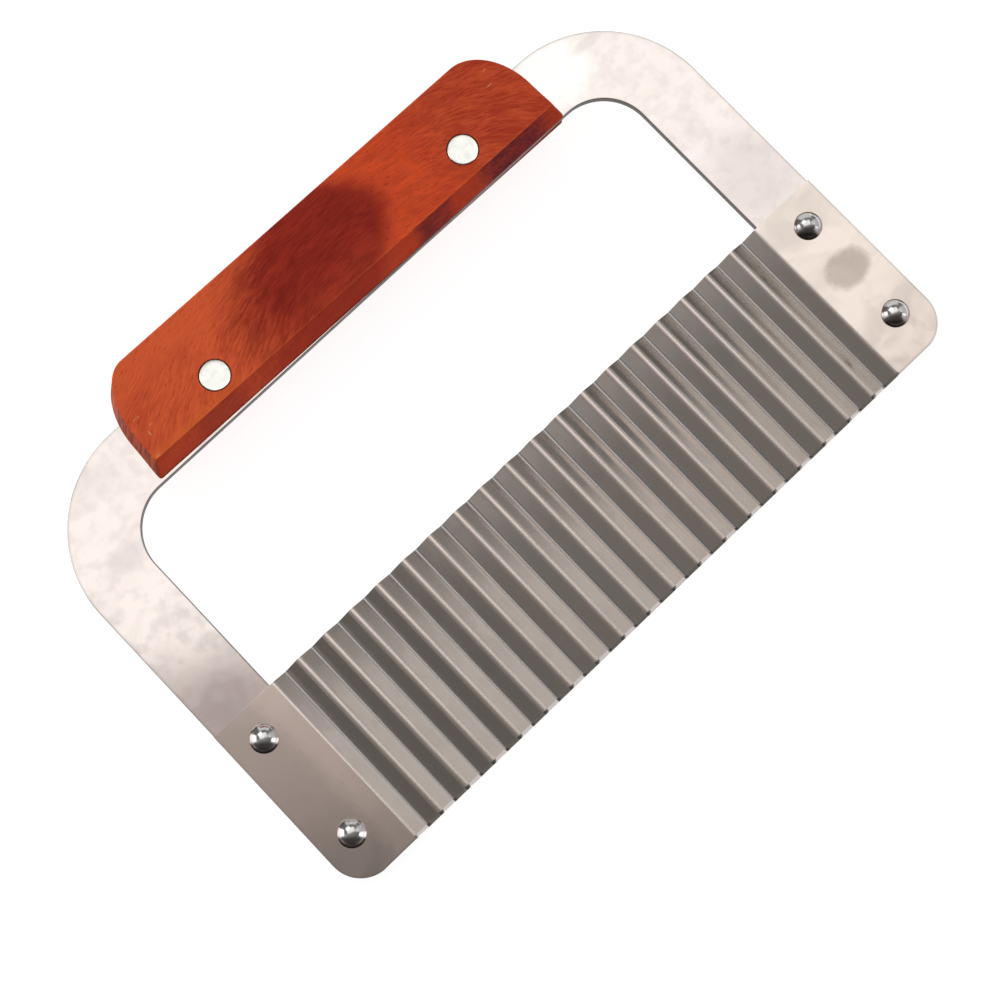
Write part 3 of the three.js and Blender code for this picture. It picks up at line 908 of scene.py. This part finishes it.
def fold_line():
    """Where the facets would meet without their round folds, as pairs of X and Z."""
    line = [(fold_start, ridge_height)]
    for fold in range(1, 2 * GROOVES):
        high = ridge_height + overshoot
        low = ridge_height - wave_depth - overshoot
        line.append((blade_low.x + TAB_LENGTH + fold * half_pitch, low if fold % 2 else high))
    return line + [(-fold_start, ridge_height), (blade_high.x, ridge_height)]


def blade_facets():
    line = fold_line()
    tab = fold_start - blade_low.x
    bpy.ops.object.select_all(action="DESELECT")
    bpy.ops.mesh.primitive_plane_add(size=1, location=(blade_low.x + tab / 2, blade_high.y / 2,
                                                       ridge_height))
    bpy.context.object.scale = (tab, blade_high.y, 1)
    facets = begin("blade_sheet")
    pick("EDGE", lambda middle, edge: middle.x > fold_start - TINY)
    for (x, z), (next_x, next_z) in zip(line, line[1:]):
        extrude((next_x - x, 0, next_z - z))
    return facets


facets = blade_facets()
print(f"{2 * GROOVES} facets at {math.degrees(slope):.1f} degrees")

# %% Blade folds and corners
FOLD_STEPS = 8
SPARE = 0.06 * MM


def fold_edges(offset, rule):
    """Rounds the folds whose X passes the rule."""
    pick("EDGE", lambda middle, edge: runs(edge, 1) and rule(abs(middle.x)))
    bpy.ops.mesh.bevel(offset=offset, offset_type="OFFSET", segments=FOLD_STEPS, affect="EDGES")


def shape_blade():
    fold_edges(FOLD_RADIUS * math.tan(slope), lambda x: x < -fold_start - TINY)
    fold_edges(FOLD_RADIUS * math.tan(slope / 2), lambda x: abs(x + fold_start) < TINY)
    pick("VERT", lambda middle, corner: middle.y < TINY and abs(middle.x) > blade_high.x - TINY)
    bpy.ops.mesh.bevel(offset=TOE_RADIUS, offset_type="OFFSET", segments=TOE_STEPS,
                       affect="VERTICES")
    pick("VERT", lambda middle, corner: middle.y < TINY and abs(middle.x) > -fold_start)
    bpy.ops.transform.translate(value=(0, SPARE, 0))
    bpy.ops.mesh.select_all(action="SELECT")
    bpy.ops.mesh.bisect(plane_co=(0, EDGE_HEIGHT * MM, 0), plane_no=(0, 1, 0))
    bpy.ops.mesh.select_all(action="SELECT")
    bpy.ops.mesh.normals_make_consistent(inside=False)
    bpy.ops.object.mode_set(mode="OBJECT")


shape_blade()
print(f"folds of {FOLD_RADIUS / MM:.1f} mm at mid-sheet")

# %% Blade sheet and ground edge
EDGE_LAND = 0.16 * MM
SHEARED_EDGE = 0.08 * MM


def thicken_blade():
    """Full thickness but for the waves' cutting edge, where a vertex group thins the sheet."""
    full = facets.vertex_groups.new(name="full")
    for corner in facets.data.vertices:
        rise = 1 if abs(corner.co.x) > -fold_start else corner.co.y / (EDGE_HEIGHT * MM)
        full.add([corner.index], min(1, rise), "REPLACE")
    apply_modifier(facets, "SOLIDIFY", thickness=BLADE_SHEET, offset=0, use_even_offset=True,
                   vertex_group="full", thickness_vertex_group=EDGE_LAND / BLADE_SHEET)
    for spot in blade_rivets.values():
        bore(facets, spot, RIVET_HOLE, -DRILL_REACH, DRILL_REACH)
    apply_modifier(facets, "BEVEL", width=SHEARED_EDGE, segments=2, limit_method="ANGLE",
                   angle_limit=math.radians(60))
    smooth(facets, 30)
    settle(facets, rolled, "blade_steel", "blade")


thicken_blade()

# %% [markdown]
# ## The handle
# The handle is one block of wood with round shoulders, slotted from below to sit over the bar.
# Its sides slope all round, from a narrow rim beside the slot to its two flat faces. It could be
# carved from the full block, but an inset that is also raised makes a sloping side in one step.
# So the block starts as thin as its rim: its shoulders are bevelled, stretched so that they come
# out taller than they are long, its ends are leant in, and both faces are inset and raised. On
# the real one the left shoulder is shorter, and the block sits a little turned on the bar.

# %% Handle rim
SHOULDER_LENGTH = 12.7 * MM
LEFT_SHOULDER = 10.6 * MM
SHOULDER_HEIGHT = 17 * MM
END_LEAN = 0.5 * MM
LIP_WIDTH = 0.6 * MM
SHOULDER_STEPS = 24
slot_face = frame_high.z + SEAT_GAP
rim = slot_face + LIP_WIDTH


def handle_rim():
    end = handle_high.x - END_LEAN
    stretch = SHOULDER_HEIGHT / SHOULDER_LENGTH
    bpy.ops.object.select_all(action="DESELECT")
    bpy.ops.mesh.primitive_cube_add(size=1, location=(handle_low + handle_high) / 2)
    bpy.context.object.scale = (2 * end * stretch, handle_high.y - handle_low.y, 2 * rim)
    block = begin("handle_block")
    pick("EDGE", lambda middle, edge: runs(edge, 2) and middle.y > handle_high.y - TINY)
    bpy.ops.mesh.bevel(offset=SHOULDER_HEIGHT, segments=SHOULDER_STEPS, affect="EDGES")
    bpy.ops.mesh.select_all(action="SELECT")
    bpy.ops.transform.resize(value=(1 / stretch, 1, 1), center_override=(0, 0, 0))
    pick("VERT", lambda middle, corner: middle.x < SHOULDER_LENGTH - end + TINY)
    bpy.ops.transform.resize(value=(LEFT_SHOULDER / SHOULDER_LENGTH, 1, 1),
                             center_override=(-end, 0, 0))
    pick("VERT", lambda middle, corner: middle.y < handle_low.y + TINY)
    bpy.ops.transform.resize(value=(handle_high.x / end, 1, 1), center_override=(0, 0, 0))
    return block


block = handle_rim()
print(f"rim {2 * rim / MM:.1f} mm thick")

# %% Handle sides
SIDE_TAPER = SIDE_WIDTH * MM
FOOT_RADIUS = 0.7 * MM


def slope_sides():
    pick("FACE", lambda middle, part: abs(part.normal.z) > FACING)
    bpy.ops.mesh.inset(thickness=SIDE_TAPER, depth=handle_high.z - rim - SPARE)
    pick("EDGE", lambda middle, edge: middle.y < handle_low.y + 0.75 * SIDE_TAPER
         and abs(middle.x) > handle_high.x - SIDE_TAPER)
    bpy.ops.mesh.bevel(offset=FOOT_RADIUS, segments=4, affect="EDGES")


slope_sides()
print(f"sides taper by {SIDE_WIDTH} mm")

# %% Turn the handle and ease its edges
RIM_SQUEEZE = 0.94
EASED = 0.3 * MM
END_ZONE = 50 * MM


def skew_block():
    """Turns the block clockwise, and lowers the top of its rim back into the box of the solids."""
    middle_line = (0, WOOD_MIDDLE * MM, 0)
    bpy.ops.mesh.select_all(action="SELECT")
    bpy.ops.transform.rotate(value=math.radians(SKEW), orient_axis="Z", center_override=middle_line)
    pick("VERT", lambda middle, corner: middle.y > middle_line[1] and abs(middle.z) < rim + TINY)
    bpy.ops.transform.resize(value=(1, RIM_SQUEEZE, 1), center_override=middle_line)
    bpy.ops.object.mode_set(mode="OBJECT")
    apply_modifier(block, "BEVEL", width=EASED, segments=3, limit_method="ANGLE",
                   angle_limit=math.radians(30))


skew_block()
right_end = [corner.co.y for corner in block.data.vertices if corner.co.x > END_ZONE]
left_end = [corner.co.y for corner in block.data.vertices if corner.co.x < -END_ZONE]
print(f"right end {(min(left_end) - min(right_end)) / MM:.2f} mm lower than the left end")
print(f"handle {block.dimensions.x / MM:.1f} mm long and {block.dimensions.z / MM:.1f} mm thick")

# %% Handle slot and rivet holes
DISC_DIAMETER = 7 * MM
DISC_THICKNESS = 2 * MM
DISC_GAP = 0.15 * MM
SLEEVE_DIAMETER = 4.6 * MM
SAW_REACH = 10 * MM


def slot_handle():
    slot_top = frame_high.y + SEAT_GAP
    slot_low = handle_low.y - SAW_REACH
    bpy.ops.object.select_all(action="DESELECT")
    bpy.ops.mesh.primitive_cube_add(size=1, location=(0, (slot_low + slot_top) / 2, 0))
    bpy.context.object.scale = (2 * handle_high.x + SAW_REACH, slot_top - slot_low, 2 * slot_face)
    cut(block, bpy.context.object)
    seat = handle_high.z - DISC_THICKNESS - SEAT_GAP
    for spot in front_spots:
        bore(block, spot, SLEEVE_DIAMETER + 2 * SEAT_GAP, -SAW_REACH, SAW_REACH)
        bore(block, spot, DISC_DIAMETER + 2 * DISC_GAP, seat, SAW_REACH)
        bore(block, spot, DISC_DIAMETER + 2 * DISC_GAP, -SAW_REACH, -seat)
    smooth(block, 30)
    settle(block, varnished, "handle_wood", "handle")


slot_handle()

# %% [markdown]
# ## Dome rivets
# Each end of the blade is held by two rivets with polished domes in front and flat formed tails
# behind. A sphere alone would be a ball, so its cap is cut off, given a short rim that sits on the
# tab, and drawn out into the shank and the tail. One is modelled, and each place gets a copy.

# %% One dome rivet
DOME_DIAMETER = 6.4 * MM
SHANK_DIAMETER = 3.2 * MM
TAIL_DIAMETER = 5.4 * MM
DOME_SEGMENTS = 64
TAIL_EASE = 0.5 * MM
SINK = 0.02 * MM
rivet_low, rivet_high = flat_box("blade_rivet_left_upper", lay)


def narrow(thickness):
    """Insets the picked face evenly."""
    bpy.ops.mesh.inset(thickness=thickness, depth=0)


def dome_rivet():
    seat = blade_high.z - SINK
    rim = blade_high.z + SEAT_GAP
    rise = rivet_high.z - rim
    ball = ((DOME_DIAMETER / 2) ** 2 + rise ** 2) / (2 * rise)
    bpy.ops.object.select_all(action="DESELECT")
    bpy.ops.mesh.primitive_uv_sphere_add(segments=DOME_SEGMENTS, ring_count=DOME_SEGMENTS,
                                         radius=ball, location=(0, 0, rivet_high.z - ball))
    rivet = begin("dome_rivet_left_upper")
    bpy.ops.mesh.select_all(action="SELECT")
    bpy.ops.mesh.bisect(plane_co=(0, 0, rim), plane_no=(0, 0, 1), use_fill=True, clear_inner=True,
                        threshold=TINY / 10)
    extrude((0, 0, seat - rim))
    narrow((DOME_DIAMETER - SHANK_DIAMETER) / 2)
    extrude((0, 0, frame_low.z + SINK - seat))
    extrude((0, 0, 0))
    spread = TAIL_DIAMETER / SHANK_DIAMETER
    bpy.ops.transform.resize(value=(spread, spread, 1), center_override=(0, 0, frame_low.z))
    extrude((0, 0, rivet_low.z - frame_low.z - SINK))
    bpy.ops.mesh.select_all(action="SELECT")
    bpy.ops.mesh.normals_make_consistent(inside=False)
    pick("EDGE", lambda middle, edge: middle.z < rivet_low.z + TINY)
    bpy.ops.mesh.bevel(offset=TAIL_EASE, segments=3, affect="EDGES")
    bpy.ops.object.mode_set(mode="OBJECT")
    return rivet


dome = dome_rivet()
print(f"dome {DOME_DIAMETER / MM:.1f} mm wide")

# %% Four dome rivets
def copy_to(piece, name, spot):
    """A copy of a piece with a mesh of its own, moved on the drawing."""
    copy = piece.copy()
    copy.data = piece.data.copy()
    copy.name = name
    copy.data.name = name
    bpy.context.scene.collection.objects.link(copy)
    copy.data.transform(Matrix.Translation((spot.x, spot.y, 0)))
    return copy


smooth(dome, 40)
for node, spot in blade_rivets.items():
    settle(copy_to(dome, node.replace("blade_rivet", "dome"), spot), polished, "rivet_steel", node)
bpy.data.objects.remove(dome)

# %% [markdown]
# ## Flush rivets of the handle
# The handle is held by two flush rivets, each in two halves: a disc with a sleeve in front, and a
# disc with a pin behind that the sleeve grips. A disc starts as a cylinder. Its rim is rounded, its
# face is crowned a little by insetting it, and its back is inset and extruded into sleeve or pin.

# %% Front and rear halves
RIM_EASE = 0.35 * MM
PIN_DIAMETER = 2.4 * MM
CROWN = 0.06 * MM
CROWN_RINGS = 3
shank_depth = 2 * (handle_high.z - DISC_THICKNESS) - SEAT_GAP


def disc(name, outward):
    """A disc whose face lies in the handle's front, or in its back where outward is -1."""
    face = handle_high.z * outward
    bpy.ops.object.select_all(action="DESELECT")
    bpy.ops.mesh.primitive_cylinder_add(vertices=DOME_SEGMENTS, radius=DISC_DIAMETER / 2,
                                        depth=DISC_THICKNESS,
                                        location=(0, 0, face - outward * DISC_THICKNESS / 2))
    half = begin(name)
    pick("EDGE", lambda middle, edge: abs(middle.z - face) < TINY)
    bpy.ops.mesh.bevel(offset=RIM_EASE, segments=4, affect="EDGES")
    pick("FACE", lambda middle, part: part.normal.z * outward > FACING)
    bpy.ops.transform.translate(value=(0, 0, -outward * CROWN))
    for ring in range(CROWN_RINGS):
        narrow(DISC_DIAMETER / 8)
        bpy.ops.transform.translate(value=(0, 0, outward * CROWN / CROWN_RINGS))
    pick("FACE", lambda middle, part: part.normal.z * outward < -FACING)
    return half


def sleeve_half():
    half = disc("sleeve_half", 1)
    narrow((DISC_DIAMETER - SLEEVE_DIAMETER) / 2)
    extrude((0, 0, -shank_depth))
    narrow((SLEEVE_DIAMETER - PIN_DIAMETER) / 2 - SEAT_GAP)
    extrude((0, 0, shank_depth))
    bpy.ops.object.mode_set(mode="OBJECT")
    return half


def pin_half():
    half = disc("pin_half", -1)
    narrow((DISC_DIAMETER - PIN_DIAMETER) / 2)
    extrude((0, 0, shank_depth))
    bpy.ops.object.mode_set(mode="OBJECT")
    return half


halves = {"front": sleeve_half(), "rear": pin_half()}
print("sleeve and pin modelled")

# %% Two pairs of halves
for half in halves.values():
    smooth(half, 40)
for node, spot in handle_rivets.items():
    half = halves[node.split("_")[-1]]
    copy = copy_to(half, node.replace("handle_rivet", "disc"), spot)
    settle(copy, brushed, "rivet_aluminium", node)
for half in halves.values():
    bpy.data.objects.remove(half)
